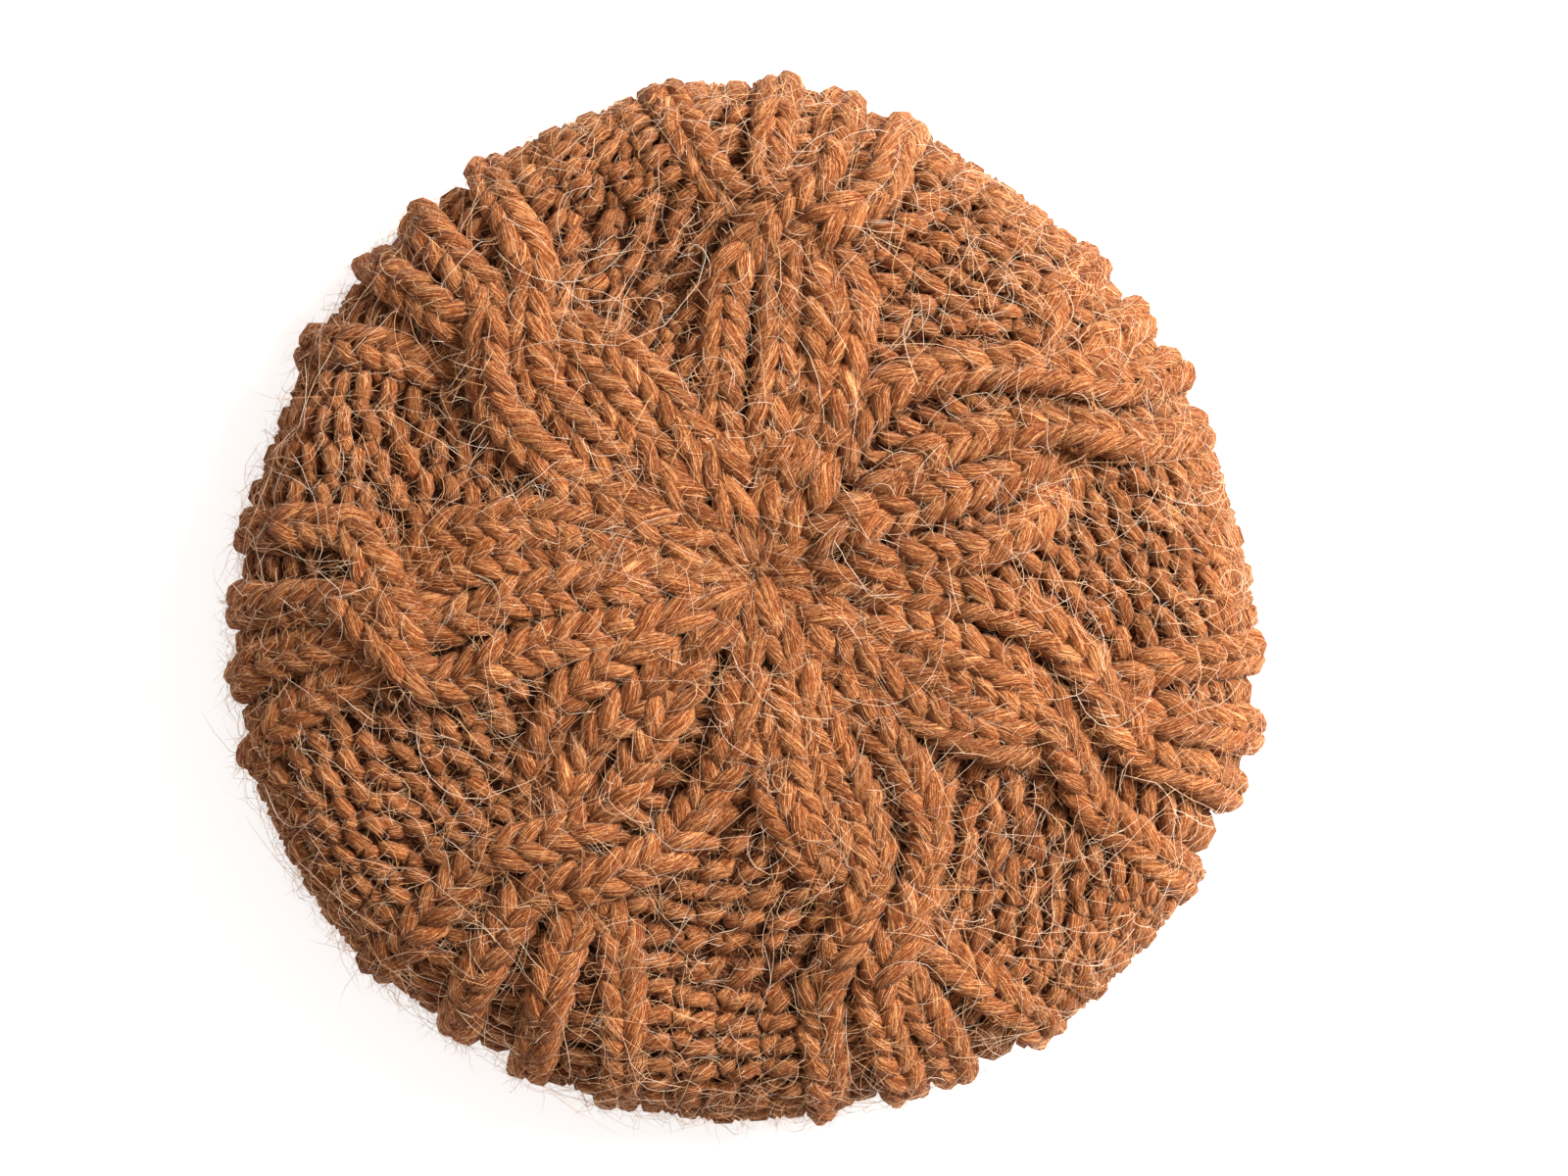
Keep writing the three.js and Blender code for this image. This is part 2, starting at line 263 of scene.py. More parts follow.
def swell(arc, puffed):
    """How far the knitting is drawn in at the crossings and the gather, and puffed between ropes."""
    out = np.interp(arc, ARC, ARC_OUT)
    way = np.interp(arc, ARC, ARC_IN)
    puff = PUFF_HEIGHT * hump(out, *PUFF_PLACE) * puffed
    pucker = PUCKER_DEPTH * hump(out, *PUCKER_PLACE)
    return (puff - pucker) * (1 - way) - GATHER_DIP * hump(out, *DIP_PLACE)


def at_rim(arc):
    """One where the crown turns under, nothing elsewhere: there the relief is lower."""
    return smooth(*RIM_NEAR, arc) * (1 - smooth(SEAM_ARC, SEAM_ARC + RIM_PAST, arc))


def chain_angles():
    """Angles in degrees of the chains that the ropes run together into: between groups, in groups."""
    between, inside = [], []
    count = len(GROUPS)
    for k, group in enumerate(GROUPS):
        after = GROUPS[(k + 1) % count]["petal"][0] + (360 if k == count - 1 else 0)
        between.append((group["petal"][3] + after) / 2)
        inside.append((group["petal"][1] + group["petal"][2]) / 2)
    return between, inside


BETWEEN, INSIDE = chain_angles()


def rope_course(k, rope):
    """Angle and lift along one rope, on the shared samples."""
    group = GROUPS[k]
    rib = RIB_OF_ROPE[rope]
    inner = (BETWEEN[k - 1] - (360 if k == 0 else 0) + CHAIN_TURN, INSIDE[k] - CHAIN_TURN,
             INSIDE[k] + CHAIN_TURN, BETWEEN[k] - CHAIN_TURN)[rope]
    stations = ((MERGE_RADIUS, inner), (PETAL_RADIUS, group["petal"][rope]),
                (group["start"], group["neck"][rope]), (group["end"], group["ribs"][rib]),
                (RIM_RADIUS, group["rim"][rib]))
    reach = np.interp(SAMPLES, ARC, ARC_OUT) * rim_reach(math.radians(group["ribs"][rib]))
    angle = np.interp(reach, [s[0] for s in stations], [s[1] for s in stations])
    middle = (group["start"] + group["end"]) / 2
    crossing = hump(reach, middle, (group["end"] - group["start"]) * CROSS_REACH)
    lift = np.where(ON_TOP[rope], CROSS_OVER, CROSS_UNDER) * crossing + RIM_RISE * at_rim(SAMPLES)
    return np.radians(blurred(angle, COURSE_BLUR)), lift


COURSES = {(k, rope): rope_course(k, rope) for k in range(len(GROUPS)) for rope in range(4)}


class Line:
    """A line on the knitting with its own length, sides and normals."""

    def __init__(self, points, normal):
        self.points = points
        self.length = np.concatenate([[0], np.cumsum(np.linalg.norm(np.diff(points, axis=0), axis=1))])
        ahead = unit(np.gradient(points, axis=0))
        self.normals = unit(normal - ahead * (normal * ahead).sum(1)[:, None])
        self.sides = np.cross(ahead, self.normals)

    def at(self, place, table):
        return np.stack([np.interp(place, self.length, table[:, c]) for c in range(3)], -1)

    def place(self, start, x, y, z):
        """Points at side x, height z and y back along the line from a start."""
        where = start - y
        return (self.at(where, self.points) + self.at(where, self.sides) * x[..., None]
                + self.at(where, self.normals) * z[..., None])


def crown_line(angle, lift):
    angle = angle + 0 * SAMPLES
    normal = surface_normal(angle, SAMPLES)
    return Line(surface(angle, SAMPLES) + normal * (lift + swell(SAMPLES, 0))[:, None], normal)


class Yarn:
    """Collects tubes of yarn, with what the wool's material and its loose fibres read from them."""

    def __init__(self, sides):
        self.sides = sides
        self.points, self.faces, self.caps, self.fibre, self.shade = [], [], [], [], []
        self.count = 0
        self.roots = []

    def add(self, path, radius, up):
        """path is (tubes, steps, 3), radius (tubes, steps), up the way out of the cloth."""
        tubes, steps, _ = path.shape
        ahead = unit(np.gradient(path, axis=1))
        normal = np.empty_like(path)
        normal[:, 0] = unit(up[:, 0] - ahead[:, 0] * (up[:, 0] * ahead[:, 0]).sum(-1, keepdims=True))
        for k in range(1, steps):
            moved = normal[:, k - 1]
            normal[:, k] = unit(moved - ahead[:, k] * (moved * ahead[:, k]).sum(-1, keepdims=True))
        side = np.cross(ahead, normal)
        turn = np.arange(self.sides) * TAU / self.sides
        ring = np.cos(turn)[:, None] * normal[:, :, None] + np.sin(turn)[:, None] * side[:, :, None]
        rough = 1 + RNG.normal(0, YARN_SPREAD, (tubes, steps, self.sides))
        points = path[:, :, None] + ring * (radius[:, :, None] * rough)[..., None]
        travel = np.concatenate([np.zeros((tubes, 1)), np.cumsum(
            np.linalg.norm(np.diff(path, axis=1), axis=2), axis=1)], axis=1)
        travel = travel + RNG.uniform(0, TRAVEL_START, (tubes, 1))
        angle = turn + (travel * YARN_TWIST)[:, :, None]
        fibre = np.stack([np.cos(angle), np.sin(angle),
                          np.broadcast_to(travel[:, :, None] / CM, angle.shape)], -1)
        bright = RNG.uniform(0, 1, (tubes, 1, 1))
        index = self.count + np.arange(tubes * steps * self.sides).reshape(tubes, steps, self.sides)
        after = np.roll(index, -1, axis=2)
        quads = np.stack([index[:, :-1], index[:, 1:], after[:, 1:], after[:, :-1]], -1)
        self.faces.append(quads.reshape(-1, 4))
        self.caps += [index[:, 0], index[:, -1, ::-1]]
        self.points.append(points.reshape(-1, 3))
        self.fibre.append(fibre.reshape(-1, 3))
        self.shade.append(np.broadcast_to(bright, angle.shape).reshape(-1))
        self.count += tubes * steps * self.sides
        facing = (ring * up[:, :, None]).sum(-1) > ROOT_FACING
        thick = (radius > ROOT_GIRTH * radius.max(axis=1, keepdims=True))[:, :, None]
        self.roots.append(np.concatenate([
            points, ring, np.broadcast_to(ahead[:, :, None], ring.shape),
            np.broadcast_to(up[:, :, None], ring.shape)], -1)[facing & thick])

    def mesh(self, name):
        points = np.vstack(self.points) * MM
        points[:, 2] = np.maximum(points[:, 2], FLOOR_GAP * MM)
        quads = np.vstack(self.faces)
        caps = np.vstack(self.caps)
        mesh = bpy.data.meshes.new(name)
        mesh.vertices.add(len(points))
        mesh.vertices.foreach_set("co", points.astype(np.float32).ravel())
        loops = np.concatenate([quads.ravel(), caps.ravel()])
        mesh.loops.add(len(loops))
        mesh.loops.foreach_set("vertex_index", loops.astype(np.int32))
        sizes = np.concatenate([np.full(len(quads), 4), np.full(len(caps), self.sides)])
        starts = np.concatenate([[0], np.cumsum(sizes)[:-1]])
        mesh.polygons.add(len(sizes))
        mesh.polygons.foreach_set("loop_start", starts.astype(np.int32))
        mesh.polygons.foreach_set("use_smooth", np.ones(len(sizes), bool))
        mesh.update(calc_edges=True)
        fibre = mesh.attributes.new("fibre", "FLOAT_VECTOR", "POINT")
        fibre.data.foreach_set("vector", np.vstack(self.fibre).astype(np.float32).ravel())
        shade = mesh.attributes.new("shade", "FLOAT", "POINT")
        shade.data.foreach_set("value", np.concatenate(self.shade).astype(np.float32))
        mesh.validate()
        return mesh


class Hairs(Yarn):
    """Loose fibres: three-sided strands that end in a point both ways."""

    def __init__(self):
        super().__init__(3)

    def add(self, path, radius, up, bright):
        tubes, steps, _ = path.shape
        ahead = unit(np.gradient(path, axis=1))[:, 1:-1]
        across = unit(np.cross(ahead, up))
        away = np.cross(ahead, across)
        turn = np.arange(3) * TAU / 3
        ring = np.cos(turn)[:, None] * across[:, :, None] + np.sin(turn)[:, None] * away[:, :, None]
        rings = path[:, 1:-1, None] + ring * radius[:, 1:-1, None, None]
        points = np.concatenate([path[:, :1], rings.reshape(tubes, -1, 3), path[:, -1:]], axis=1)
        each = points.shape[1]
        start = self.count + each * np.arange(tubes)[:, None]
        index = start[:, :, None] + 1 + np.arange(each - 2).reshape(1, steps - 2, 3)
        after = np.roll(index, -1, axis=2)
        self.faces.append(np.stack([index[:, :-1], index[:, 1:], after[:, 1:], after[:, :-1]],
                                   -1).reshape(-1, 4))
        tail = np.broadcast_to(start, (tubes, 3))
        self.caps += [np.stack([index[:, 0], after[:, 0], tail], -1).reshape(-1, 3),
                      np.stack([after[:, -1], index[:, -1], tail + each - 1], -1).reshape(-1, 3)]
        self.points.append(points.reshape(-1, 3))
        self.fibre.append(np.zeros((tubes * each, 3)))
        self.shade.append(np.repeat(bright.reshape(-1), each))
        self.count += tubes * each


def drift(count, size, half=3):
    """Slow random wandering from stitch to stitch."""
    kernel = np.hanning(2 * half + 3)[1:-1]
    noise = RNG.normal(0, size, count + 2 * half)
    return np.convolve(noise, kernel / np.sqrt((kernel ** 2).sum()), "valid")[:, None]


# A knit loop: rows that it spans, how far its legs bow out as a share of its width, how far its ends
# tip, its girth at the ends and what its legs have more, and the gap left in its turn at each end
LOOP_ROWS = 1.88
LOOP_BOW = 0.27
LOOP_TIP = 0.6
LOOP_GIRTH = (0.62, 0.50)
LOOP_GAP = 0.02
# How loops differ: shares of width, height and girth, mm to the side and outward, and of lean
LOOP_SPREAD = {"wide": 0.05, "tall": 0.04, "girth": 0.05, "side": 0.3, "out": 0.25, "lean": 0.35}
# How far a rope wanders slowly: its roll in radians, and mm to the side and outward
LOOP_DRIFT = {"roll": 0.22, "side": 0.65, "out": 0.40}


def steady(value):
    return lambda place: value + 0 * place


def add_rope(yarn, line, first, last, pitch, width, radius, steps, lift=-1.0, depth=2.2, loose=1.0):
    """Knit stitches along a line, from first to last; pitch and width are functions of the place."""
    rows = [first]
    while rows[-1] < last:
        rows.append(rows[-1] + pitch(rows[-1]))
    rows = np.array(rows)
    count = len(rows)
    each = (count, 1)
    t = np.linspace(LOOP_GAP, TAU - LOOP_GAP, steps) + np.zeros(each)
    wide = (width(rows) * (1 + RNG.normal(0, LOOP_SPREAD["wide"], count)))[:, None]
    tall = (LOOP_ROWS * pitch(rows) * (1 + RNG.normal(0, LOOP_SPREAD["tall"], count)))[:, None] / 2
    x = wide * (t / TAU - 0.5) + LOOP_BOW * wide * np.sin(2 * t) + RNG.normal(0, LOOP_SPREAD["side"], each)
    y = -tall * np.cos(t)
    lean = RNG.normal(0, LOOP_SPREAD["lean"], each) * np.sin(t) * np.sign(np.pi - t)
    z = LOOP_TIP * np.cos(t) - depth * np.cos(2 * t) + lean + RNG.normal(0, LOOP_SPREAD["out"], each)
    roll = drift(count, LOOP_DRIFT["roll"] * loose)
    x, z = x * np.cos(roll) - z * np.sin(roll), x * np.sin(roll) + z * np.cos(roll)
    x = x + drift(count, LOOP_DRIFT["side"] * loose)
    z = z + lift + drift(count, LOOP_DRIFT["out"] * loose)
    path = line.place(rows[:, None], x, y, z)
    up = line.at(rows[:, None] - y, line.normals)
    girth = LOOP_GIRTH[0] + LOOP_GIRTH[1] * np.abs(np.sin(t)) ** 1.5
    girth = girth * (1 + RNG.normal(0, LOOP_SPREAD["girth"], each))
    yarn.add(path, radius(rows)[:, None] * girth, up)


def rope_angles(arc):
    found = [np.interp(arc, SAMPLES, angle) for angle, lift in COURSES.values()]
    return np.sort(np.mod(found, TAU))


# A purl stitch: how far it sweeps along its row as a share of its width, its rise in rows, its lean,
# how far it bows out of the cloth and tips, and its girth and what its ends have more
PURL_SWEEP = 0.17
PURL_RISE = 0.51
PURL_LEAN = 1.2
PURL_BOW = 2.4
PURL_TIP = 0.35
PURL_GIRTH = (0.90, 0.13)
# How stitches differ: shares of rise and girth, and mm of lean, outward and along the knitting
PURL_SPREAD = {"rise": 0.06, "girth": 0.05, "lean": 0.4, "out": 0.30, "along": 0.2}
PURL_SINK = 4.05                # how far the ground lies below the ropes
LONE_SINK = 0.8                 # and how much further where one stitch fills the room
RIM_LIFT = 0.8                  # and how much less at the rim
ROW_TUCK = 2.6                  # how far a row's ends are tucked under the ropes
TUCK_TURN = 1.3                 # within this much of the stitch's turn
ROW_OVERLAP = 3.5               # how far a row reaches in under the ropes
LEAST_ROOM = 2.5                # a narrower gap between ropes gets no ground
UNDER_NARROWING = 0.32          # how much narrower the ground's stitches are at the headband
PUFFED_ROOM = (6, 25)           # ground puffs up from the first width, fully from the second
# Rows wave along the knitting: size, number of waves round the crown and lag for each mm. Then size
# and number of the waves that run in steps, one step for each gap between ropes
ROW_WAVE = (0.6, 11, 0.8)
ROW_STEP = (0.5, 7)


def add_ground(yarn, arcs, steps, radius):
    """Rows of purl stitches between the ropes, whose ends run under the ropes."""
    t = np.linspace(0, TAU, steps)
    wave, waves, lag = ROW_WAVE
    step, step_count = ROW_STEP
    for arc in arcs:
        narrow = 1 - UNDER_NARROWING * smooth(RIM_ARC, ARC_END, arc)
        angles = rope_angles(arc)
        for low, high in zip(angles, np.append(angles[1:], angles[0] + TAU)):
            middle = (low + high) / 2
            reach = np.linalg.norm(surface(middle + TURN_STEP, arc) - surface(middle - TURN_STEP, arc))
            reach = reach / (2 * TURN_STEP)
            free = (high - low) * reach - ROPE_WIDTH * narrow
            if free < LEAST_ROOM:
                continue
            count = max(1, round(free / (STITCH_WIDTH * narrow)))
            room = (free + ROW_OVERLAP) / reach
            width = room / count
            each = (count, 1)
            number = np.arange(count)[:, None]
            angle = middle - room / 2 + width * (number + t / TAU) + PURL_SWEEP * width * np.sin(2 * t)
            rise = PURL_RISE * ROW_HEIGHT * np.cos(t) * (1 + RNG.normal(0, PURL_SPREAD["rise"], each))
            rise = rise - RNG.normal(PURL_LEAN, PURL_SPREAD["lean"], each) * np.sin(2 * t)
            z = PURL_BOW * np.cos(2 * t) - PURL_TIP * np.cos(t) + RNG.normal(0, PURL_SPREAD["out"], each)
            z[0] -= ROW_TUCK * (1 - smooth(0, TUCK_TURN, t))
            z[-1] -= ROW_TUCK * smooth(TAU - TUCK_TURN, TAU, t)
            place = arc + rise + RNG.normal(0, PURL_SPREAD["along"], each)
            place = place + wave * np.sin(waves * angle + lag * arc)
            place = place + step * math.sin(step_count * middle + arc)
            puffed = smooth(*PUFFED_ROOM, free) * narrow
            normal = surface_normal(angle, place)
            sink = PURL_SINK + LONE_SINK * (count == 1) - RIM_LIFT * at_rim(arc)
            path = surface(angle, place) + normal * (z - sink + swell(place, puffed))[..., None]
            girth = PURL_GIRTH[0] + PURL_GIRTH[1] * np.cos(2 * t)
            girth = girth + RNG.normal(0, PURL_SPREAD["girth"], each)
            yarn.add(path, radius * girth, normal)


def socket(shader, name, value):
    shader.inputs[name].default_value = value


def colour_ramp(nodes, places, colours):
    ramp = nodes.new("ShaderNodeValToRGB")
    stops = ramp.color_ramp.elements
    stops[0].position = places[0]
    stops[1].position = places[2]
    stops.new(places[1])
    for stop, colour in zip(stops, colours):
        stop.color = (*colour, 1)
    return ramp


# Colours from the hollows between the fibres to their crests, and where along the noise they lie.
# Beyond the fibres' own tone, the dark end is painted shade and the pale end a painted highlight.
WOOL_COLOURS = ((0.060, 0.009, 0.001), (0.270, 0.064, 0.012), (0.91, 0.465, 0.195))
# The inside layers' colours: darker than the yarn, as painted shade in the gaps between stitches
INSIDE_SHADE_COLOURS = ((0.02, 0.005, 0.002), (0.09, 0.025, 0.007), (0.34, 0.13, 0.05))
WOOL_PLACES = (0.385, 0.51, 0.635)
# Colours of the loose fibres, and the tones that they lie at
FIBRE_COLOURS = ((0.42, 0.15, 0.045), (0.80, 0.41, 0.17), (0.92, 0.76, 0.60))
FIBRE_PLACES = (0.0, 0.6, 1.0)
SHEEN_TINT = (1.0, 0.80, 0.62, 1)
STREAKS = 1.1                   # streaks along 10 mm of yarn
CLUMPS = 0.8                    # clumps along the same length
CLUMP_SHARE = 0.42              # how much of the noise is clumps
TONE_RANGE = (0.80, 1.15)       # darkest and palest stitch
BUMP_DEPTH = 0.0008             # in metres


def wool(name, colours, fibres):
    """Wool yarn: streaks along it, finer with more fibres, clumps of them, and a soft sheen.
    The streaks' dark and pale colours are partly painted shade and painted highlight.
    """
    material = bpy.data.materials.new(name)
    material.use_nodes = True
    nodes, links = material.node_tree.nodes, material.node_tree.links
    shader = nodes["Principled BSDF"]
    socket(shader, "Roughness", 0.80)
    socket(shader, "Sheen Weight", 0.07)
    socket(shader, "Sheen Roughness", 0.45)
    socket(shader, "Sheen Tint", SHEEN_TINT)
    socket(shader, "Specular IOR Level", 0.16)
    fibre = nodes.new("ShaderNodeAttribute")
    fibre.attribute_name = "fibre"
    shade = nodes.new("ShaderNodeAttribute")
    shade.attribute_name = "shade"
    noises = []
    for around, along, detail in ((fibres, STREAKS, 3.0), (fibres * 0.3, CLUMPS, 2.0)):
        stretch = nodes.new("ShaderNodeVectorMath")
        stretch.operation = "MULTIPLY"
        stretch.inputs[1].default_value = (around, around, along)
        links.new(fibre.outputs["Vector"], stretch.inputs[0])
        noise = nodes.new("ShaderNodeTexNoise")
        noise.inputs["Scale"].default_value = 1.0
        noise.inputs["Detail"].default_value = detail
        noise.inputs["Roughness"].default_value = 0.65
        links.new(stretch.outputs[0], noise.inputs["Vector"])
        noises.append(noise)
    both = nodes.new("ShaderNodeMix")
    both.data_type = "FLOAT"
    both.inputs["Factor"].default_value = CLUMP_SHARE
    links.new(noises[0].outputs["Fac"], both.inputs["A"])
    links.new(noises[1].outputs["Fac"], both.inputs["B"])
    # The ramp paints shade into the noise's hollows and a highlight onto its crests
    ramp = colour_ramp(nodes, WOOL_PLACES, colours)
    links.new(both.outputs["Result"], ramp.inputs["Fac"])
    tone = nodes.new("ShaderNodeMapRange")
    tone.inputs["To Min"].default_value = TONE_RANGE[0]
    tone.inputs["To Max"].default_value = TONE_RANGE[1]
    links.new(shade.outputs["Fac"], tone.inputs["Value"])
    tint = nodes.new("ShaderNodeVectorMath")
    tint.operation = "SCALE"
    links.new(ramp.outputs["Color"], tint.inputs[0])
    links.new(tone.outputs["Result"], tint.inputs["Scale"])
    links.new(tint.outputs[0], shader.inputs["Base Color"])
    bump = nodes.new("ShaderNodeBump")
    bump.inputs["Strength"].default_value = 0.85
    bump.inputs["Distance"].default_value = BUMP_DEPTH
    links.new(both.outputs["Result"], bump.inputs["Height"])
    links.new(bump.outputs["Normal"], shader.inputs["Normal"])
    return material


def hair_wool(name):
    """Loose fibres: each one its own tone, from the wool's orange to nearly white."""
    material = bpy.data.materials.new(name)
    material.use_nodes = True
    nodes, links = material.node_tree.nodes, material.node_tree.links
    shader = nodes["Principled BSDF"]
    socket(shader, "Roughness", 0.6)
    shade = nodes.new("ShaderNodeAttribute")
    shade.attribute_name = "shade"
    ramp = colour_ramp(nodes, FIBRE_PLACES, FIBRE_COLOURS)
    links.new(shade.outputs["Fac"], ramp.inputs["Fac"])
    links.new(ramp.outputs["Color"], shader.inputs["Base Color"])
    return material


def piece(name, mesh, material, node):
    obj = bpy.data.objects.new(name, mesh)
    bpy.context.scene.collection.objects.link(obj)
    mesh.materials.append(material)
    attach(obj, "root")
    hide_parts(node)
    return obj


def sheet_mesh(name, rings):
    """A closed skin through rings of points; each ring has as many points."""
    rings = np.array(rings)
    rows, columns, _ = rings.shape
    index = np.arange(rows * columns).reshape(rows, columns)
    after = np.roll(index, -1, 1)
    low, low_after = np.roll(index, -1, 0), np.roll(after, -1, 0)
    quads = np.stack([index, low, low_after, after], -1).reshape(-1, 4)
    mesh = bpy.data.meshes.new(name)
    mesh.from_pydata((rings.reshape(-1, 3) * MM).tolist(), [], quads.tolist())
    mesh.polygons.foreach_set("use_smooth", np.ones(len(quads), bool))
    fibre = mesh.attributes.new("fibre", "FLOAT_VECTOR", "POINT")
    fibre.data.foreach_set("vector", (rings / CM).astype(np.float32).ravel())
    return mesh


# The inner layer of the crown: points round it, rings, first and last ring's distance from the ends,
# depth, thickness, and its share of the puffs
BACKING_SIDES = 90
BACKING_RINGS = 36
BACKING_ENDS = (0.6, 0.5)
BACKING_DEPTH = 3.6
BACKING_WALL = 0.8
BACKING_PUFFED = 0.5
# The inner layer of the band: points round it, half its thickness, and its lowest height
BAND_BACKING_SIDES = 168
BAND_BACKING = 1.2
BAND_BACKING_FOOT = 1.5


def crown_backing():
    """A thin dark layer inside the knitting, so that no light passes between the stitches.
    Its dark colour is painted shade for the gaps between them.
    """
    turn = np.arange(BACKING_SIDES) * TAU / BACKING_SIDES
    outer, inner = [], []
    for arc in np.linspace(BACKING_ENDS[0], ARC_END - BACKING_ENDS[1], BACKING_RINGS):
        at = surface(turn, np.full(len(turn), arc))
        normal = surface_normal(turn, np.full(len(turn), arc))
        level = swell(arc, BACKING_PUFFED) - BACKING_DEPTH
        outer.append(at + normal * level)
        inner.append(at + normal * (level - BACKING_WALL))
    return sheet_mesh("crown_backing", outer + inner[::-1])


def band_backing():
    turn = np.arange(BAND_BACKING_SIDES) * TAU / BAND_BACKING_SIDES
    circle = np.stack([np.cos(turn), np.sin(turn), 0 * turn], 1)
    rings = []
    for side, z in ((1, BAND_BACKING_FOOT), (1, BAND_HEIGHT), (-1, BAND_HEIGHT), (-1, BAND_BACKING_FOOT)):
        rings.append(circle * (BAND_RADIUS + side * BAND_BACKING) + (*BAND_MIDDLE, z))
    return sheet_mesh("band_backing", rings[::-1])


# The rib: the first and last loop's place down the band, rows, width, and how far from its middle
RIB_TOP = 5.2
RIB_END = 21.0
RIB_PITCH = 5.6
RIB_WIDTH = 5.4
RIB_OFFSET = 0.9
RIB_MARGIN = 4                  # how far a rib's line runs past the band
# The hem: points along each strand, height, and how far its strands wind in and out and up and down
HEM_STEPS = 380
HEM_HEIGHT = 3.0
HEM_REACH = 1.3
HEM_RISE = 1.2


def add_band(yarn):
    """Single rib: columns of knit stitches on the outer face, and between them on the inner face."""
    heights = np.arange(BAND_HEIGHT + RIB_MARGIN, -RIB_MARGIN, -SAMPLE_STEP)
    for side, face in ((1, 0), (-1, 1)):
        for rib in range(RIB_COUNT):
            angle = (rib + face / 2) * TAU / RIB_COUNT
            way = np.array([math.cos(angle), math.sin(angle), 0])
            points = (*BAND_MIDDLE, 0) + way * (BAND_RADIUS + side * RIB_OFFSET)
            points = points + np.stack([0 * heights, 0 * heights, heights], 1)
            line = Line(points, np.tile(way * side, (len(heights), 1)))
            add_rope(yarn, line, RIB_TOP, RIB_END, steady(RIB_PITCH), steady(RIB_WIDTH),
                     steady(BAND_YARN), steps=12, lift=0.0, depth=1.2, loose=0.25)


def add_hem(yarn):
    """The cast-on edge: two strands twisted round each other along the band's lower edge."""
    turn = np.linspace(0, TAU, HEM_STEPS)
    for start in (0, math.pi):
        twist = RIB_COUNT * turn + start
        reach = BAND_RADIUS + HEM_REACH * np.cos(twist)
        path = np.stack([BAND_MIDDLE[0] + reach * np.cos(turn), BAND_MIDDLE[1] + reach * np.sin(turn),
                         HEM_HEIGHT + HEM_RISE * np.sin(twist)], -1)
        up = np.stack([np.cos(turn), np.sin(turn), 0 * turn], -1)
        yarn.add(path[None], np.full((1, HEM_STEPS), HEM_YARN), up[None])


def add_hairs(hairs, roots, count, length, spread, steps, radius, tones):
    """Loose fibres that leave the yarn and curl back over the knitting."""
    chosen = roots[RNG.integers(0, len(roots), count)]
    root, out, ahead, up = (chosen[:, None, 3 * k:3 * k + 3] for k in range(4))
    each, every = (count, 1, 1), (count, 1, 3)
    size = length * np.minimum(RNG.lognormal(0, HAIR_SPREAD, each), HAIR_MOST)
    way = unit(ahead * RNG.choice((-1, 1), each) + out * HAIR_LIFT + RNG.normal(0, spread, every))
    curl = RNG.normal(0, HAIR_CURL, every) - up * RNG.uniform(*HAIR_FALL, each)
    wave = RNG.normal(0, HAIR_WAVE, every)
    s = np.linspace(0, 1, steps)[None, :, None]
    path = root - out * HAIR_SINK + size * (way * s + curl * s * s + wave * np.sin(TAU * s))
    proud = ((path - root) * up).sum(-1, keepdims=True)
    path = path - up * (proud - np.minimum(proud, HAIR_REACH * np.tanh(proud / HAIR_REACH)))
    path[..., 2] = np.clip(path[..., 2], HAIR_LOW, HAIR_TOP)
    taper = radius * (1 - HAIR_TAPER * s[..., 0] ** 2) * RNG.uniform(*HAIR_GIRTH, (count, 1))
    hairs.add(path, taper, up, RNG.uniform(*tones, count))


# Long hairs: usual, least and most length, height over the knitting at the root and more at the
# middle, radius, tones, and spread of the bend and of the wandering at each step
LONG_LENGTH = (18, 8, 60)
LONG_HEIGHT = (0.5, 3.5)
LONG_ARCH = 2.0
LONG_RADIUS = 0.058
LONG_TONES = (0.55, 1.0)
LONG_BEND = 0.22
LONG_WANDER = 0.18
LONG_SPREAD = 0.5               # how lengths differ
LONG_GIRTH = (0.6, 1.2)         # thinnest and thickest, as shares of the radius
LONG_PAST_RIM = 8               # how far past the rim a long hair may start
LONG_PLACES = (2, RIM_ARC + 14)  # lengths along the knitting between which it stays
LEAST_REACH = 6                 # a step turns as if it were at least this far from the gather


def add_long_hairs(hairs, count, steps=10):
    """Long curly hairs that lie over the crown."""
    angle = RNG.uniform(0, TAU, count)
    arc = np.sqrt(RNG.uniform(0.02, 1, count)) * (RIM_ARC + LONG_PAST_RIM)
    heading = RNG.uniform(0, TAU, count)
    bend = RNG.normal(0, LONG_BEND, count)
    usual, least, most = LONG_LENGTH
    size = np.clip(RNG.lognormal(math.log(usual), LONG_SPREAD, count), least, most)
    base = RNG.uniform(*LONG_HEIGHT, count)
    path = np.empty((count, steps, 3))
    for step in range(steps):
        share = step / (steps - 1)
        height = base + LONG_ARCH * np.sin(share * math.pi)
        path[:, step] = surface(angle, arc) + surface_normal(angle, arc) * height[:, None]
        reach = np.maximum(np.interp(arc, ARC, ARC_OUT) * RIM_RADIUS, LEAST_REACH)
        stride = size / (steps - 1)
        angle = angle + stride * np.sin(heading) / reach
        arc = np.clip(arc + stride * np.cos(heading), *LONG_PLACES)
        heading = heading + bend + RNG.normal(0, LONG_WANDER, count)
    path[..., 2] = np.minimum(path[..., 2], HAIR_TOP)
    taper = np.full((count, steps), LONG_RADIUS) * RNG.uniform(*LONG_GIRTH, (count, 1))
    hairs.add(path, taper, np.array([0.0, 0.0, 1.0]), RNG.uniform(*LONG_TONES, count))


# Length of a row of the crown's ropes, and the stretches that make rows longer towards the gather:
# how much, and the places along the knitting between which each one fades
CROWN_PITCH = 6.4
PITCH_STRETCH = ((2.4, 22, 50), (3.2, 10, 26))


def crown_pitch(place):
    pitch = CROWN_PITCH
    for more, start, end in PITCH_STRETCH:
        pitch = pitch + more * (1 - smooth(start, end, place))
    return pitch


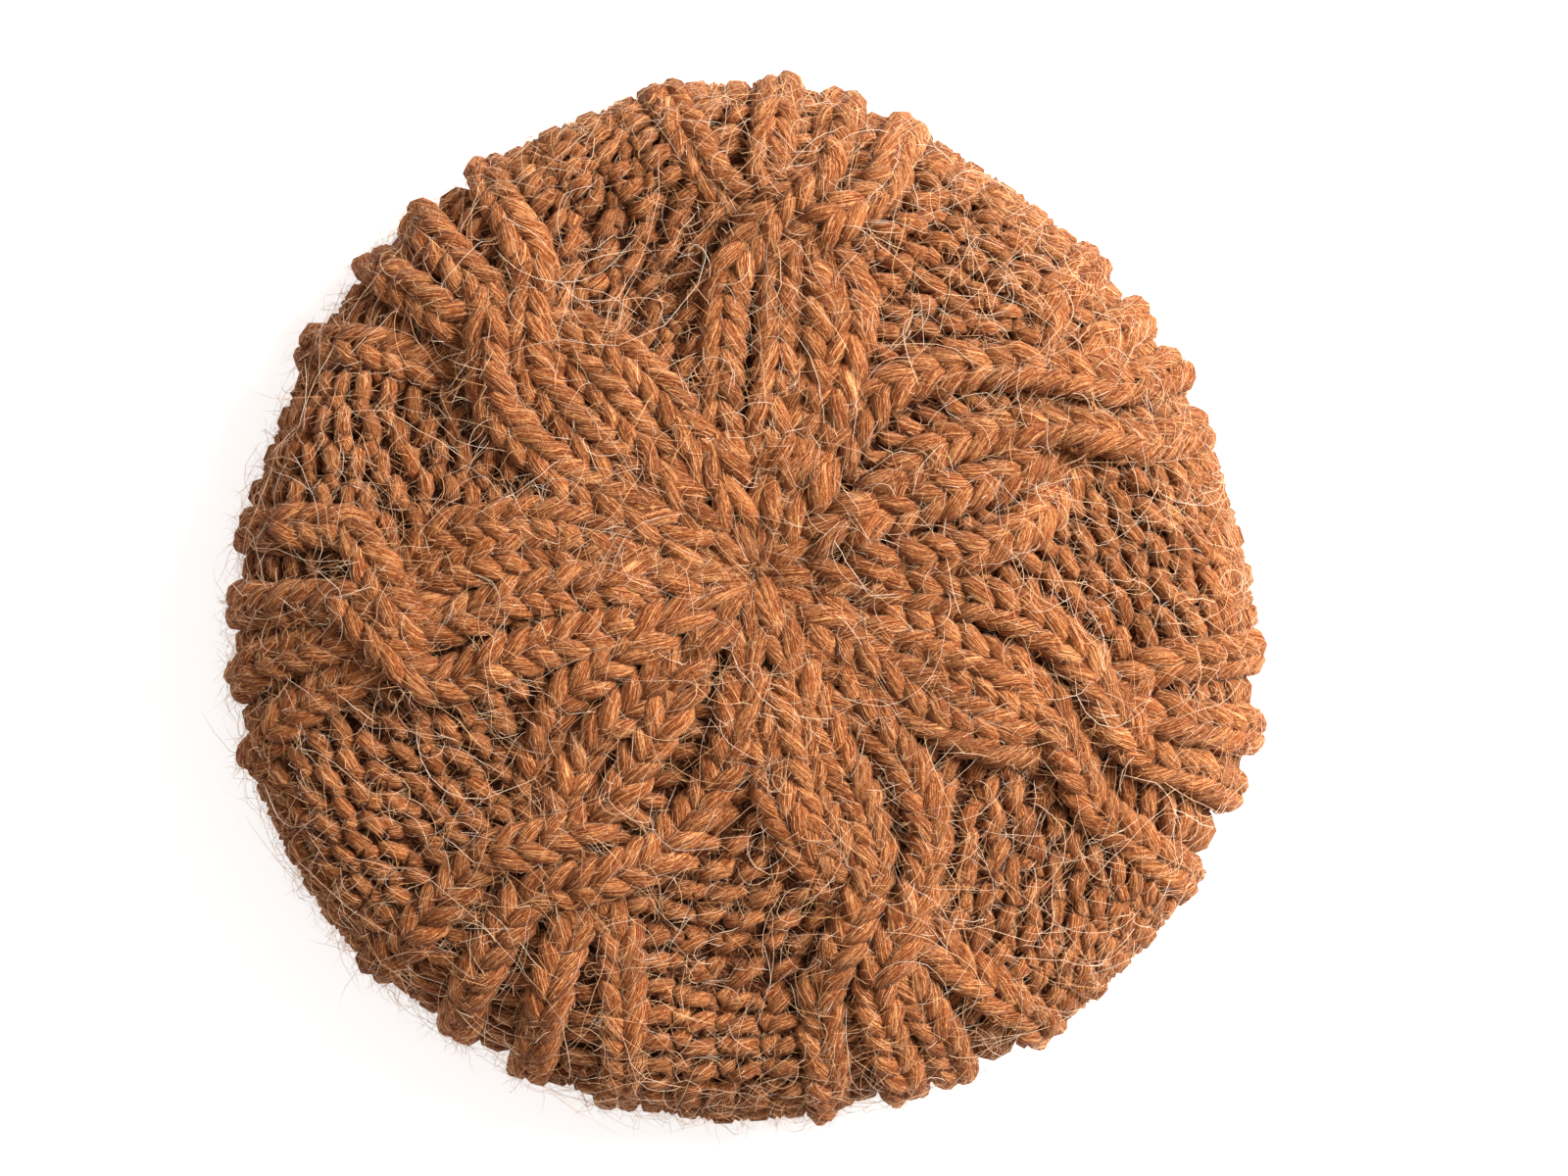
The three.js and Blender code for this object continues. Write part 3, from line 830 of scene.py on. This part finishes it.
WOOL = wool("wool_crown", WOOL_COLOURS, fibres=22.0)
# Painted shade: wool darker than the yarn, for the layers seen in the gaps between the stitches
PAINTED_SHADE_WOOL = wool("wool_inside_painted_shade", INSIDE_SHADE_COLOURS, fibres=12.0)
HAIR_WOOL = hair_wool("wool_fibres")

# Lengths along the knitting: where the first purl row, the ropes and the chains at the gather begin,
# how unevenly the chains do, and where they end
GROUND_START = 36.0
ROPE_START = 33
CHAIN_START = 8.0
CHAIN_SPREAD = 0.7
CHAIN_END = 28.5
# Width of the chains' loops and radius of their yarn, by the place along them
CHAIN_PLACES = (5, 14, 24, 34)
CHAIN_WIDTHS = (2.6, 6.6, 10.0, 12.0)
CHAIN_YARN = (2.1, 2.35, 2.6, 2.6)
ROPE_NARROWING = 0.25           # how much narrower the ropes are at the headband
ROPE_MARGIN = 3                 # how far before the headband they end

ropes = Yarn(sides=9)
under = Yarn(sides=6)
for angle, lift in COURSES.values():
    line = crown_line(angle, lift)
    split = np.interp(SEAM_ARC, SAMPLES, line.length)
    add_rope(ropes, line, np.interp(ROPE_START, SAMPLES, line.length), split - ROW_HEIGHT, crown_pitch,
             steady(LOOP_WIDTH), steady(YARN_RADIUS), steps=18)
    narrow = (lambda place, start=split, end=line.length[-1]:
              1 - ROPE_NARROWING * smooth(start, end, place))
    add_rope(under, line, split, line.length[-1] - ROPE_MARGIN, crown_pitch,
             lambda place: LOOP_WIDTH * narrow(place), lambda place: YARN_RADIUS * narrow(place), steps=13)

gather = Yarn(sides=10)
for chain in BETWEEN + INSIDE:
    line = crown_line(math.radians(chain), 0 * SAMPLES)
    add_rope(gather, line, CHAIN_START + RNG.normal(0, CHAIN_SPREAD), CHAIN_END, crown_pitch,
             lambda place: np.interp(place, CHAIN_PLACES, CHAIN_WIDTHS),
             lambda place: np.interp(place, CHAIN_PLACES, CHAIN_YARN), steps=22, depth=2.5)

ground = Yarn(sides=7)
add_ground(ground, np.arange(GROUND_START, SEAM_ARC - 1, ROW_HEIGHT), steps=14, radius=GROUND_YARN)
add_ground(under, np.arange(SEAM_ARC + 1, ARC_END - 1, ROW_HEIGHT), steps=11, radius=UNDER_YARN)

band = Yarn(sides=6)
add_band(band)
add_hem(band)

rope_fibres, ground_fibres, fuzz, long_fibres = Hairs(), Hairs(), Hairs(), Hairs()
rope_roots = np.vstack(ropes.roots + gather.roots)
ground_roots = np.vstack(ground.roots)
add_hairs(rope_fibres, rope_roots, 12000, **FIBRES["crown"])
add_hairs(ground_fibres, ground_roots, 9500, **FIBRES["crown"])
add_hairs(fuzz, rope_roots, 12500, **FIBRES["fuzz"])
add_hairs(fuzz, ground_roots, 10500, **FIBRES["fuzz"])
add_hairs(long_fibres, np.vstack(under.roots), 2300, **FIBRES["underside"])
add_hairs(long_fibres, np.vstack(band.roots), 1000, **FIBRES["band"])
add_long_hairs(long_fibres, 1480)

piece("crown_gather", gather.mesh("crown_gather"), WOOL, "crown")
piece("crown_ropes", ropes.mesh("crown_ropes"), WOOL, "crown")
piece("crown_ground", ground.mesh("crown_ground"), WOOL, "crown")
piece("crown_underside", under.mesh("crown_underside"), WOOL, "crown")
# The backing wears the painted-shade wool, so the gaps between stitches look dark
piece("crown_backing", crown_backing(), PAINTED_SHADE_WOOL, "crown")
piece("crown_fibres_ropes", rope_fibres.mesh("crown_fibres_ropes"), HAIR_WOOL, "crown")
piece("crown_fibres_ground", ground_fibres.mesh("crown_fibres_ground"), HAIR_WOOL, "crown")
piece("crown_fuzz", fuzz.mesh("crown_fuzz"), HAIR_WOOL, "crown")
piece("crown_long_fibres", long_fibres.mesh("crown_long_fibres"), HAIR_WOOL, "crown")
piece("band_rib", band.mesh("band_rib"), WOOL, "band")
# The band's backing too: painted shade between the rib's stitches
piece("band_backing", band_backing(), PAINTED_SHADE_WOOL, "band")

# The pale surface, the camera straight above it, and soft light from the upper right
EDGE = 8.0
PAPER_GLOW = 0.6
floor_mesh = bpy.data.meshes.new("floor")
floor_mesh.from_pydata([(-EDGE, -EDGE, 0), (EDGE, -EDGE, 0), (EDGE, EDGE, 0), (-EDGE, EDGE, 0)], [],
                       [(0, 1, 2, 3)])
floor = bpy.data.objects.new("floor", floor_mesh)
bpy.context.scene.collection.objects.link(floor)
paper = bpy.data.materials.new("paper")
paper.use_nodes = True
socket(paper.node_tree.nodes["Principled BSDF"], "Base Color", (0.97, 0.97, 0.97, 1))
socket(paper.node_tree.nodes["Principled BSDF"], "Roughness", 0.9)
socket(paper.node_tree.nodes["Principled BSDF"], "Emission Color", (1, 1, 1, 1))
socket(paper.node_tree.nodes["Principled BSDF"], "Emission Strength", PAPER_GLOW)
floor_mesh.materials.append(paper)

CAMERA_HEIGHT = 0.80
CAMERA_PLACE = (0.0095, 0.0029)
FRAME_WIDTH = 0.400             # width of the view at the rim's height
SENSOR_WIDTH = 36
camera_data = bpy.data.cameras.new("camera")
camera = bpy.data.objects.new("camera", camera_data)
bpy.context.scene.collection.objects.link(camera)
bpy.context.scene.camera = camera
camera_data.sensor_width = SENSOR_WIDTH
camera_data.lens = SENSOR_WIDTH * (CAMERA_HEIGHT - RIM_HEIGHT * MM) / FRAME_WIDTH
camera.location = (*CAMERA_PLACE, CAMERA_HEIGHT)


def area_light(name, place, size, power, colour):
    data = bpy.data.lights.new(name, "AREA")
    data.size = size
    data.energy = power
    data.color = colour
    light = bpy.data.objects.new(name, data)
    light.location = place
    light.rotation_euler = (-Vector(place)).to_track_quat("-Z", "Y").to_euler()
    bpy.context.scene.collection.objects.link(light)


KEY_PLACE = (0.91, 0.47, 0.78)
KEY_SIZE = 0.6
KEY_POWER = 42.5
KEY_COLOUR = (1.0, 0.97, 0.93)
area_light("key", KEY_PLACE, KEY_SIZE, KEY_POWER, KEY_COLOUR)

SKY_COLOUR = (1, 0.965, 0.93, 1)
SKY_STRENGTH = 0.495
world = bpy.data.worlds.new("world")
bpy.context.scene.world = world
world.use_nodes = True
world.node_tree.nodes["Background"].inputs[0].default_value = SKY_COLOUR
world.node_tree.nodes["Background"].inputs[1].default_value = SKY_STRENGTH
bpy.context.scene.view_settings.view_transform = "Standard"
